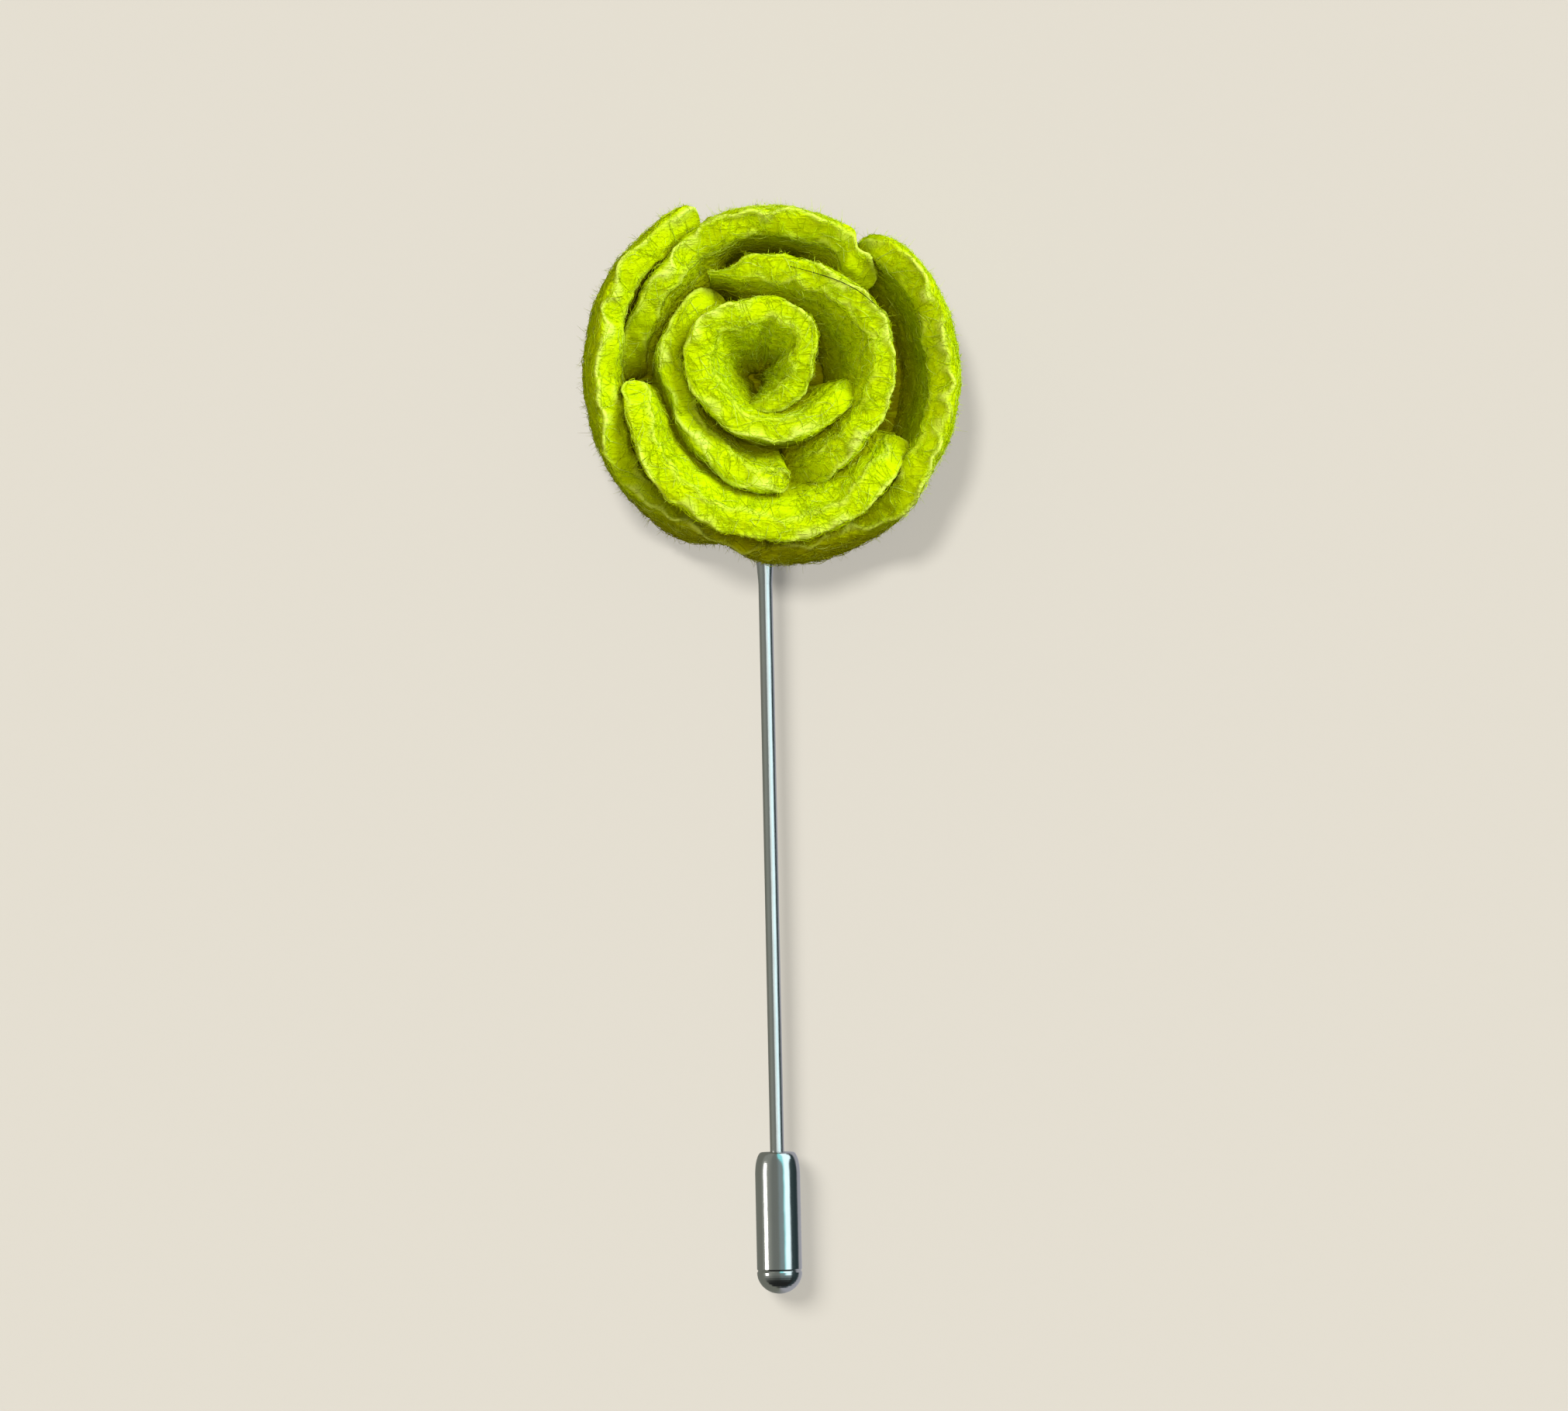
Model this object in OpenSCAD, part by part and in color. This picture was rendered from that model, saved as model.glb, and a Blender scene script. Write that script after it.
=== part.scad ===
// Flower lapel pin, lying on its back: a rolled felt rose on a stick pin, with a bullet-shaped clutch.
// The face of the flower looks up along Z, and the pin runs from the flower along -Y.
// The origin is the middle of the felt pad's flat back.

/* [Flower] */
// Radius of the outline that the outer petals follow
flower_r = 16; // [15.5:0.5:20]
// Height of the flower above its back
flower_h = 14; // [11:0.5:18]
// Thickness of the felt
felt_t = 2.4; // [1.8:0.1:2.5]
// Air between one felt piece and the next where they lie closest
felt_gap = 0.2; // [0.1:0.05:0.3]
// How far the rims of the outer petals lie to the right of the pad's middle
lean_x = 1.1; // [0:0.1:1.5]
// How far the rims of the outer petals lie above the pad's middle, as seen from the front
lean_y = 0.4; // [0:0.1:1]
// How far the centre roll widens from its foot to its rim
roll_splay = 1.5; // [1:0.1:2]

/* [Pad] */
// Radius of the felt pad at the back
base_r = 13; // [12:0.5:14]
// Felt between the pin and the top of the pad
base_cover = 0.8; // [0.6:0.1:2]
// Rounding of the pad's edges
base_fillet = 0.6; // [0.2:0.1:1]

/* [Pin] */
// Radius of the pin's straight shaft
pin_r = 0.62; // [0.5:0.02:0.7]
// Radius of the thicker stretch that goes into the flower
neck_r = 0.78; // [0.72:0.02:1]
// Length of the cone between the thicker stretch and the shaft
neck_cone = 2; // [1:0.5:4]
// Shaft that shows between the flower and the clutch
shaft_exposed = 52; // [40:1:60]
// Length of the pin that is hidden in the flower
pin_buried = 14; // [10:1:15]
// Radius of the blunted point
pin_tip_r = 0.08; // [0.05:0.01:0.2]
// Air round the pin inside the pad
pad_clear = 0.05; // [0.03:0.01:0.1]

/* [Clutch] */
// Radius of the clutch's barrel
clutch_r = 2; // [1.7:0.1:2.6]
// Length of the clutch
clutch_len = 12.6; // [12:0.2:16]
// Length of the rounded shoulder at the mouth
clutch_shoulder = 2; // [1:0.1:3]
// Radius of the flat face at the mouth
clutch_mouth_r = 1.38; // [1.2:0.02:1.6]
// Length of the dome at the closed end
clutch_dome = 1.9; // [1.5:0.1:2.4]
// Depth of the seam between the barrel and the dome
seam_depth = 0.1; // [0.05:0.01:0.2]
// Width of that seam
seam_width = 0.3; // [0.2:0.05:0.5]
// Metal between the end of the bore and the tip of the dome
clutch_end_wall = 1.9; // [1:0.1:2.5]
// Air round the pin inside the clutch
slide_clear = 0.05; // [0.02:0.01:0.1]
// Room between the point and the end of the bore
tip_room = 0.5; // [0.2:0.1:1]

/* [Hidden] */
$fn = 64;

// The clutch and the pad both lie on the ground, so the shaft is one clutch radius above it
shaft_z = clutch_r;
pad_bore_r = neck_r + pad_clear;
base_t = shaft_z + pad_bore_r + base_cover;

// Distances along the shaft, from the pad's middle towards the clutch
pin_start = flower_r - pin_buried;
cone_start = flower_r - neck_cone / 4;
mouth_at = flower_r + shaft_exposed;
clutch_bore_r = pin_r + slide_clear;
pin_in_clutch = clutch_len - clutch_end_wall - tip_room;
pin_end = mouth_at + pin_in_clutch;
// The ground point narrows slowly over this share of its length, to this share of the shaft's radius
TAPER_AT = 0.6;
TAPER_R = 0.8;
// How far a drill runs out of the face that it opens
drill_past = 1;
// Flat facets across each rounded end of the clutch
END_STEPS = 14;

// One layer of felt and its air, and the radius at which a wall stands round the pad's edge
layer = felt_t + felt_gap;
edge_foot_r = base_r + felt_gap + felt_t / 2;

// Where the rims of each ring are centred, for a ring that starts from the pad's middle
outer_lean = [lean_x, lean_y];
inner_lean = [1.4 * lean_x, 1.6 * lean_y];
roll_lean = [-0.1 * lean_x, 6.6 * lean_y];

// Columns of the petal tables: one row for each section across the petal's wall.
// Rim, body and foot are shares of the flower's radius and of the radius round the pad, before the layers outside
// the petal are taken off. Top is a share of the flower's height. Hem is 0 near the ground and 1 on top of the pad.
ANGLE = 0;
RIM = 1;
BODY = 2;
FOOT = 3;
TOP = 4;
HEM = 5;

PETAL_LEFT = [
    [116, 1.01, 1.02, 1.01, 0.75, 0],
    [122, 1.015, 1.035, 1.01, 0.88, 0],
    [135, 1, 1.025, 1.01, 0.92, 0],
    [155, 0.965, 1, 1.01, 0.91, 0],
    [175, 0.92, 0.97, 1.01, 0.9, 0],
    [195, 0.925, 0.96, 1.01, 0.89, 0],
    [208, 0.945, 0.955, 1.01, 0.82, 0],
    [222, 0.92, 0.95, 1.01, 0.62, 0],
    [238, 0.91, 0.955, 1.01, 0.54, 0],
    [254, 0.905, 0.9, 1.01, 0.51, 0.5],
    [261, 0.91, 0.935, 1.01, 0.5, 1],
    [265.7, 0.91, 0.955, 1.01, 0.49, 1],
];

PETAL_TOP = [
    [42, 0.94, 0.945, 1, 0.68, 1],
    [50, 0.965, 0.955, 1, 0.82, 1],
    [62, 1.005, 0.995, 1, 0.86, 1],
    [69, 1.03, 1.07, 1.19, 0.87, 1],
    [76, 1.03, 1.075, 1.19, 0.87, 0],
    [92, 1.055, 1.08, 1.19, 0.87, 0],
    [102, 1.055, 1.08, 1.19, 0.87, 0],
    [109, 1.05, 1.06, 1.19, 0.86, 1],
    [116, 1.035, 1.03, 1, 0.86, 1],
    [135, 0.985, 0.99, 1, 0.86, 1],
    [148, 0.955, 0.96, 1, 0.8, 1],
    [158, 0.945, 0.95, 1, 0.72, 1],
    [166, 0.94, 0.945, 1.01, 0.6, 1],
    [172.5, 0.935, 0.94, 1.035, 0.5, 1],
];

PETAL_RIGHT = [
    [-93.3, 0.91, 0.95, 1.01, 0.49, 1],
    [-88, 0.905, 0.95, 1.01, 0.5, 1],
    [-80, 0.905, 0.96, 1.01, 0.52, 0.2],
    [-68, 0.91, 0.975, 1.01, 0.56, 0],
    [-56, 0.94, 0.99, 1.01, 0.66, 0],
    [-44, 0.975, 0.99, 1.01, 0.82, 0],
    [-30, 0.95, 0.98, 1.01, 0.9, 0],
    [-10, 0.955, 1, 1.01, 0.92, 0],
    [15, 0.965, 1.02, 1.01, 0.93, 0],
    [35, 0.98, 1.02, 1.01, 0.92, 0],
    [50, 0.96, 0.99, 1.01, 0.88, 0],
    [57, 0.955, 0.97, 1.01, 0.76, 0],
];

PETAL_BOTTOM = [
    [178.5, 0.91, 0.91, 0.98, 0.8, 1],
    [188, 0.925, 0.91, 0.98, 0.95, 1],
    [205, 0.94, 0.905, 0.98, 0.98, 1],
    [240, 0.965, 0.885, 0.97, 0.98, 1],
    [268, 0.985, 0.88, 0.96, 0.97, 1],
    [296, 0.98, 0.885, 0.96, 0.97, 1],
    [318, 0.955, 0.91, 0.97, 0.94, 1],
    [336, 0.94, 0.925, 0.98, 0.7, 1],
];

INNER_PETAL_RIGHT = [
    [-80.5, 0.865, 0.835, 0.95, 0.74, 1],
    [-72, 0.87, 0.84, 0.95, 0.88, 1],
    [-52, 0.87, 0.845, 0.95, 0.92, 1],
    [-30, 0.885, 0.855, 0.96, 0.92, 1],
    [-5, 0.915, 0.88, 0.98, 0.93, 1],
    [25, 0.945, 0.905, 0.98, 0.93, 1],
    [45, 0.945, 0.905, 0.98, 0.93, 1],
    [70, 0.925, 0.895, 0.98, 0.92, 1],
    [97, 0.94, 0.915, 0.98, 0.91, 1],
    [108, 0.95, 0.925, 0.99, 0.88, 1],
    [118, 1, 0.955, 1, 0.76, 1],
];

INNER_PETAL_LEFT = [
    [121.5, 1.035, 0.99, 1.06, 0.7, 1],
    [128, 1.07, 1.03, 1.1, 0.8, 1],
    [140, 1.07, 1.04, 1.12, 0.82, 1],
    [152, 1.076, 1.045, 1.13, 0.8, 1],
    [163, 1.08, 1.05, 1.13, 0.79, 1],
    [175, 1.05, 1.035, 1.13, 0.78, 1],
    [187, 1.025, 1.02, 1.12, 0.77, 1],
    [205, 1.015, 1.02, 1.12, 0.78, 1],
    [225, 1.02, 1.025, 1.12, 0.82, 1],
    [245, 1.042, 1.025, 1.12, 0.86, 1],
    [260, 1.05, 1.02, 1.12, 0.88, 1],
    [274.5, 1.05, 1.015, 1.11, 0.82, 1],
];

// Columns of the roll's table: the angle, from the inner end outwards, the share of the flower's radius that the
// petal round it follows, how many layers in from there its rim lies, and the top's share of the flower's height.
ROLL_IN = 2;
ROLL_TOP = 3;
CENTRE_ROLL = [
    [-480, 1.01, 5.33, 0.7],
    [-460, 0.96, 4.88, 0.77],
    [-440, 0.9, 4.36, 0.81],
    [-418, 0.87, 4.05, 0.84],
    [-395, 0.885, 4.14, 0.86],
    [-375, 0.905, 4.24, 0.87],
    [-358, 0.925, 4.25, 0.88],
    [-341, 0.94, 4.08, 0.89],
    [-318, 0.945, 4.02, 0.89],
    [-300, 0.938, 4.12, 0.89],
    [-284, 0.93, 3.94, 0.88],
    [-258, 0.96, 4.22, 0.89],
    [-232, 1.06, 4.7, 0.9],
    [-207, 1.1, 4.76, 0.9],
    [-183, 1.11, 4.76, 0.9],
    [-159, 1.1, 4.8, 0.9],
    [-136, 1.05, 4.5, 0.9],
    [-113, 1, 4.02, 0.9],
    [-90, 0.93, 3.43, 0.9],
    [-67, 0.87, 2.87, 0.89],
    [-47, 0.875, 2.73, 0.88],
    [-28, 0.9, 2.66, 0.86],
    [-11, 0.91, 2.62, 0.72],
];

// Felt layers outside each piece
LAYERS_PETAL_TOP = 1;
LAYERS_PETAL_BOTTOM = 1;
LAYERS_INNER_RIGHT = 2;
LAYERS_INNER_LEFT = 3;

// The cross-section of a wall: how far up it each point lies, and its half width there as a share of the felt's
SECTION_UP = [0, 0.04, 0.22, 0.4, 0.58, 0.76, 0.92];
SECTION_HALF = [0.7, 1, 1, 1, 1, 1, 1];
// The round rim, as angles up a quarter circle
RIM_ROUND = [0, 40, 75];
BODY_LOW = 0.4;
BODY_HIGH = 0.75;
SIDE_POINTS = len(SECTION_UP) + len(RIM_ROUND);
// Angle between two sections of a petal, and of the roll
PETAL_STEP = 6.5;
ROLL_STEP = 11;
// The felt thins over this angle towards an end, to this share of its thickness
END_ANGLE = 7;
END_SHARE = 0.65;

// Row of the table whose stretch holds an angle
function row_at(table, angle, i = 0) =
    i >= len(table) - 2 || angle <= table[i + 1][ANGLE] ? i : row_at(table, angle, i + 1);

// A column's value at an angle, on a smooth curve through the rows
function value_at(table, column, angle) =
    let (
        i = row_at(table, angle),
        a = table[i],
        b = table[i + 1],
        before = table[max(i - 1, 0)],
        after = table[min(i + 2, len(table) - 1)],
        span = b[ANGLE] - a[ANGLE],
        t = (angle - a[ANGLE]) / span,
        slope_a = (b[column] - before[column]) / (b[ANGLE] - before[ANGLE]) * span,
        slope_b = (after[column] - a[column]) / (after[ANGLE] - a[ANGLE]) * span
    )
    a[column] * (2 * pow(t, 3) - 3 * pow(t, 2) + 1) + slope_a * (pow(t, 3) - 2 * pow(t, 2) + t)
        + b[column] * (3 * pow(t, 2) - 2 * pow(t, 3)) + slope_b * (pow(t, 3) - pow(t, 2));

// Even angles from a table's first row to its last
function stations(table, step) =
    let (
        first = table[0][ANGLE],
        last = table[len(table) - 1][ANGLE],
        count = ceil((last - first) / step)
    )
    [for (i = [0 : count]) first + (last - first) * i / count];

// Share of the felt's thickness left at an angle, near an end
function end_share(table, angle) =
    let (
        first = table[0][ANGLE],
        last = table[len(table) - 1][ANGLE],
        inside = min(angle - first, last - angle, END_ANGLE) / END_ANGLE
    )
    END_SHARE + (1 - END_SHARE) * sin(90 * inside);

// Point on the cubic curve through a foot and a rim, pulled towards two body points
function bezier(p, t) =
    p[0] * pow(1 - t, 3) + 3 * p[1] * t * pow(1 - t, 2) + 3 * p[2] * pow(t, 2) * (1 - t) + p[3] * pow(t, 3);

// Direction of that curve
function bezier_way(p, t) =
    let (d = (p[1] - p[0]) * pow(1 - t, 2) + 2 * (p[2] - p[1]) * t * (1 - t) + (p[3] - p[2]) * pow(t, 2))
    d / norm(d);

// One side of a wall's section as [radius, height] points, from the hem up; side is 1 outside and -1 inside
function section_side(curve, half, side) =
    [
        for (i = [0 : len(SECTION_UP) - 1])
            let (way = i == 0 ? [0, 1] : bezier_way(curve, SECTION_UP[i]))
            bezier(curve, SECTION_UP[i]) + side * half * SECTION_HALF[i] * [way[1], -way[0]],
        for (a = RIM_ROUND)
            let (way = bezier_way(curve, 1))
            curve[3] + side * half * cos(a) * [way[1], -way[0]] + half * sin(a) * way
    ];

// The whole section as a loop: up the outside and down the inside
function section_loop(curve, half) =
    let (inside = section_side(curve, half, -1))
    concat(section_side(curve, half, 1), [for (i = [SIDE_POINTS - 1 : -1 : 0]) inside[i]]);

// The curve up the middle of a petal's wall, as [radius, height] points
function petal_curve(table, layers, angle, half) =
    let (
        off = layers * layer,
        rim_r = value_at(table, RIM, angle) * flower_r - off,
        body_r = value_at(table, BODY, angle) * flower_r - off,
        foot_r = value_at(table, FOOT, angle) * edge_foot_r - off,
        hem_z = felt_gap + max(0, min(1, value_at(table, HEM, angle))) * base_t,
        rim_z = value_at(table, TOP, angle) * flower_h - half,
        rise = rim_z - hem_z
    )
    [[foot_r, hem_z], [body_r, hem_z + BODY_LOW * rise], [body_r, hem_z + BODY_HIGH * rise], [rim_r, rim_z]];

// The curve up the middle of the roll's wall
function roll_curve(table, angle, half) =
    let (
        rim_r = value_at(table, RIM, angle) * flower_r - value_at(table, ROLL_IN, angle) * layer,
        foot_r = rim_r - roll_splay,
        body_r = rim_r - roll_splay / 2,
        hem_z = felt_gap + base_t,
        rim_z = value_at(table, ROLL_TOP, angle) * flower_h - half,
        rise = rim_z - hem_z
    )
    [[foot_r, hem_z], [body_r, hem_z + BODY_LOW * rise], [body_r, hem_z + BODY_HIGH * rise], [rim_r, rim_z]];

// A [radius, height] point of a section, turned to its angle and moved with the lean at its height
function placed(point, angle, lean) =
    let (
        across = point[1] / flower_h * lean + point[0] * [cos(angle), sin(angle)]
    )
    [across[0], across[1], point[1]];

// A closed wall through a list of sections, each with the same number of points
module wall(sections) {
    loop = 2 * SIDE_POINTS;
    last = len(sections) - 1;
    points = [for (s = sections) each s];
    sides = [
        for (i = [0 : last - 1])
            for (k = [0 : loop - 1])
                let (
                    a = i * loop + k,
                    b = i * loop + (k + 1) % loop
                )
                each [[a, b, b + loop], [a, b + loop, a + loop]]
    ];
    first_cap = [
        for (k = [0 : SIDE_POINTS - 2])
            each [[k, loop - 2 - k, k + 1], [k, loop - 1 - k, loop - 2 - k]]
    ];
    last_cap = [for (f = first_cap) [f[0] + last * loop, f[2] + last * loop, f[1] + last * loop]];
    polyhedron(points, concat(sides, first_cap, last_cap), convexity = 6);
}

module petal(table, layers, lean) {
    wall([
        for (angle = stations(table, PETAL_STEP))
            let (half = felt_t / 2 * end_share(table, angle))
            [for (p = section_loop(petal_curve(table, layers, angle, half), half)) placed(p, angle, lean)]
    ]);
}

module petal_left() {
    color("yellowgreen") petal(PETAL_LEFT, 0, outer_lean);
}

module petal_top() {
    color("yellowgreen") petal(PETAL_TOP, LAYERS_PETAL_TOP, outer_lean);
}

module petal_right() {
    color("yellowgreen") petal(PETAL_RIGHT, 0, outer_lean);
}

module petal_bottom() {
    color("yellowgreen") petal(PETAL_BOTTOM, LAYERS_PETAL_BOTTOM, outer_lean);
}

module inner_petal_right() {
    color("yellowgreen") petal(INNER_PETAL_RIGHT, LAYERS_INNER_RIGHT, inner_lean);
}

module inner_petal_left() {
    color("yellowgreen") petal(INNER_PETAL_LEFT, LAYERS_INNER_LEFT, inner_lean);
}

module centre_roll() {
    color("yellowgreen") wall([
        for (angle = stations(CENTRE_ROLL, ROLL_STEP))
            let (half = felt_t / 2 * end_share(CENTRE_ROLL, angle))
            [for (p = section_loop(roll_curve(CENTRE_ROLL, angle, half), half)) placed(p, angle, roll_lean)]
    ]);
}

// Places a shape that stands on its own Z axis on the shaft, with that axis running towards the clutch
module on_shaft(distance) {
    translate([0, -distance, shaft_z]) rotate([90, 0, 0]) children();
}

module felt_base() {
    color("olivedrab") difference() {
        rotate_extrude() polygon([
            [0, 0],
            [base_r - base_fillet, 0],
            [base_r, base_fillet],
            [base_r, base_t - base_fillet],
            [base_r - base_fillet, base_t],
            [0, base_t],
        ]);
        on_shaft(pin_start - pad_clear) cylinder(r = pad_bore_r, h = 2 * base_r);
    }
}

module stick_pin() {
    color("silver") on_shaft(pin_start) rotate_extrude() polygon([
        [0, 0],
        [neck_r, 0],
        [neck_r, cone_start - pin_start],
        [pin_r, cone_start + neck_cone - pin_start],
        [pin_r, mouth_at - pin_start],
        [TAPER_R * pin_r, mouth_at + TAPER_AT * pin_in_clutch - pin_start],
        [pin_tip_r, pin_end - pin_start],
        [0, pin_end - pin_start],
    ]);
}

// Quarter of an ellipse as [radius, length] points, from the barrel towards a narrower face
function rounded_end(wide, narrow, long, steps) =
    [for (i = [0 : steps]) let (a = 90 * i / steps) [narrow + (wide - narrow) * cos(a), long * sin(a)]];

module clutch() {
    shoulder = rounded_end(clutch_r, clutch_mouth_r, clutch_shoulder, END_STEPS);
    dome = rounded_end(clutch_r, 0, clutch_dome, END_STEPS);
    seam_at = clutch_len - clutch_dome;
    color("silver") on_shaft(mouth_at) difference() {
        rotate_extrude() polygon(concat(
            [[0, 0]],
            [for (i = [len(shoulder) - 1 : -1 : 0]) [shoulder[i][0], clutch_shoulder - shoulder[i][1]]],
            [[clutch_r, seam_at - seam_width], [clutch_r - seam_depth, seam_at - seam_width / 2]],
            [for (p = dome) [p[0], seam_at + p[1]]]
        ));
        translate([0, 0, -drill_past])
            cylinder(r = clutch_bore_r, h = drill_past + pin_in_clutch + tip_room);
    }
}

petal_left();
petal_top();
petal_right();
petal_bottom();
inner_petal_right();
inner_petal_left();
centre_roll();
felt_base();
stick_pin();
clutch();
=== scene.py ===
import math

import bpy
import numpy as np
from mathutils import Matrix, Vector, noise
from mathutils.bvhtree import BVHTree


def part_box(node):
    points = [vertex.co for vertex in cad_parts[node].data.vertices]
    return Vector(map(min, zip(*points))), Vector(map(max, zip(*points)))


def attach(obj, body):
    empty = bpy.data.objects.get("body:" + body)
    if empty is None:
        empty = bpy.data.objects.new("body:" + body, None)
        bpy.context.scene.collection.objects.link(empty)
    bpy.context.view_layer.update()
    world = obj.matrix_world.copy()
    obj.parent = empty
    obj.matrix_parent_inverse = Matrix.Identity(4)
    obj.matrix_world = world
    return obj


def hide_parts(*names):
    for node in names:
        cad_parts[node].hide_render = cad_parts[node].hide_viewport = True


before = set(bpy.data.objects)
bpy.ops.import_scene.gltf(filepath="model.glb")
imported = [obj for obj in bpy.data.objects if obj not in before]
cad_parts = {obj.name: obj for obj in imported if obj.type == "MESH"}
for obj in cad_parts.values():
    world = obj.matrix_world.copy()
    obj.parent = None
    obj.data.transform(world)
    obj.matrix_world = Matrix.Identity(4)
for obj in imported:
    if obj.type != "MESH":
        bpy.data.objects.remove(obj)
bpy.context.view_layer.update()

MM = 0.001
BODY = "flower_pin"

# The flower, with the same driving sizes as the construction
FLOWER_R = 16 * MM
FLOWER_H = 14 * MM
FELT_T = 2.4 * MM
FELT_GAP = 0.2 * MM
LAYER = FELT_T + FELT_GAP
BASE_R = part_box("felt_base")[1].x
BASE_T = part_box("felt_base")[1].z
BASE_FILLET = 0.6 * MM
EDGE_FOOT_R = BASE_R + FELT_GAP + FELT_T / 2
OUTER_LEAN = np.array([1.1, 0.4]) * MM
INNER_LEAN = np.array([1.54, 0.64]) * MM
ROLL_LEAN = np.array([-0.11, 2.64]) * MM
ROLL_SPLAY = 1.5 * MM
SHAFT_Z = (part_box("clutch")[0].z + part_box("clutch")[1].z) / 2

# Columns of the petal tables, one row for each section across the wall: angle in degrees, the rim's and the
# body's share of the flower's radius, the foot's share of the radius round the pad, the top's share of the
# flower's height, and the hem, which is 0 near the ground and 1 on top of the pad.
ANGLE, RIM, BODY_SHARE, FOOT, TOP, HEM = range(6)

PETAL_LEFT = [
    [112, 0.995, 1.01, 1.01, 0.72, 0],
    [117, 1.01, 1.03, 1.01, 0.85, 0],
    [124, 1.01, 1.03, 1.01, 0.89, 0],
    [135, 1, 1.02, 1.01, 0.92, 0],
    [155, 0.965, 1, 1.01, 0.91, 0],
    [175, 0.92, 0.965, 1, 0.9, 0],
    [195, 0.925, 0.945, 0.99, 0.89, 0],
    [208, 0.94, 0.93, 0.985, 0.82, 0],
    [222, 0.905, 0.915, 0.98, 0.62, 0],
    [235, 0.89, 0.915, 0.985, 0.54, 0],
    [243, 0.88, 0.905, 0.985, 0.53, 0.1],
    [250, 0.862, 0.862, 0.935, 0.51, 0.4],
    [256, 0.855, 0.845, 0.905, 0.5, 0.6],
    [261, 0.88, 0.88, 0.945, 0.49, 0.7],
    [268.8, 0.9, 0.935, 0.99, 0.47, 0.8],
]

PETAL_TOP = [
    [42, 0.94, 0.945, 1, 0.68, 1],
    [50, 0.965, 0.955, 1, 0.82, 1],
    [56, 0.985, 0.98, 1, 0.86, 1],
    [60, 1.055, 1.04, 1.06, 0.86, 1],
    [69, 1.045, 1.07, 1.19, 0.87, 1],
    [76, 1.05, 1.08, 1.2, 0.87, 0],
    [92, 1.065, 1.085, 1.2, 0.87, 0],
    [102, 1.06, 1.08, 1.19, 0.87, 0],
    [109, 1.05, 1.06, 1.19, 0.86, 1],
    [116, 1.035, 1.03, 1, 0.86, 1],
    [135, 0.985, 0.99, 1, 0.86, 1],
    [148, 0.955, 0.96, 1, 0.8, 1],
    [158, 0.945, 0.95, 1, 0.72, 1],
    [168, 0.935, 0.945, 1, 0.58, 1],
    [177, 0.93, 0.94, 1, 0.36, 1],
]

PETAL_RIGHT = [
    [-94.6, 0.9, 0.93, 0.985, 0.49, 0.8],
    [-88, 0.9, 0.935, 1, 0.5, 0.8],
    [-80, 0.9, 0.95, 1.01, 0.52, 0.2],
    [-68, 0.91, 0.975, 1.01, 0.56, 0],
    [-56, 0.94, 0.99, 1.01, 0.66, 0],
    [-44, 0.97, 0.985, 1.01, 0.82, 0],
    [-30, 0.95, 0.98, 1.01, 0.9, 0],
    [-10, 0.95, 1, 1.01, 0.92, 0],
    [15, 0.965, 1.02, 1.01, 0.93, 0],
    [35, 0.98, 1.02, 1.01, 0.92, 0],
    [48, 0.965, 0.99, 1.01, 0.88, 0],
    [55.4, 0.92, 0.94, 0.995, 0.72, 0],
]

PETAL_BOTTOM = [
    [178.5, 0.91, 0.91, 0.98, 0.8, 1],
    [188, 0.925, 0.91, 0.98, 0.95, 1],
    [205, 0.94, 0.905, 0.98, 0.98, 1],
    [240, 0.965, 0.885, 0.97, 0.98, 1],
    [268, 0.985, 0.88, 0.96, 0.97, 1],
    [296, 0.98, 0.885, 0.96, 0.97, 1],
    [318, 0.955, 0.91, 0.97, 0.94, 1],
    [336, 0.94, 0.925, 0.98, 0.7, 1],
]

INNER_PETAL_RIGHT = [
    [-82, 0.86, 0.83, 0.95, 0.62, 1],
    [-72, 0.865, 0.835, 0.95, 0.76, 1],
    [-60, 0.87, 0.84, 0.95, 0.86, 1],
    [-45, 0.875, 0.848, 0.955, 0.91, 1],
    [-30, 0.885, 0.855, 0.96, 0.92, 1],
    [-5, 0.915, 0.88, 0.98, 0.93, 1],
    [25, 0.945, 0.905, 0.98, 0.93, 1],
    [45, 0.945, 0.905, 0.98, 0.93, 1],
    [70, 0.925, 0.895, 0.98, 0.92, 1],
    [97, 0.935, 0.91, 0.98, 0.91, 1],
    [108, 0.945, 0.92, 0.99, 0.89, 1],
    [114, 0.975, 0.935, 0.99, 0.87, 1],
    [121, 1.03, 0.96, 1, 0.84, 1],
]

INNER_PETAL_LEFT = [
    [119, 1.03, 0.99, 1.06, 0.66, 1],
    [128, 1.075, 1.03, 1.1, 0.8, 1],
    [140, 1.07, 1.04, 1.12, 0.82, 1],
    [152, 1.076, 1.045, 1.13, 0.8, 1],
    [163, 1.082, 1.05, 1.13, 0.79, 1],
    [175, 1.045, 1.035, 1.13, 0.78, 1],
    [187, 1.015, 1.02, 1.12, 0.77, 1],
    [205, 1.012, 1.02, 1.12, 0.78, 1],
    [225, 1.02, 1.025, 1.12, 0.82, 1],
    [245, 1.042, 1.025, 1.12, 0.86, 1],
    [260, 1.05, 1.02, 1.12, 0.88, 1],
    [277, 1.05, 1.015, 1.11, 0.85, 1],
]

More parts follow.
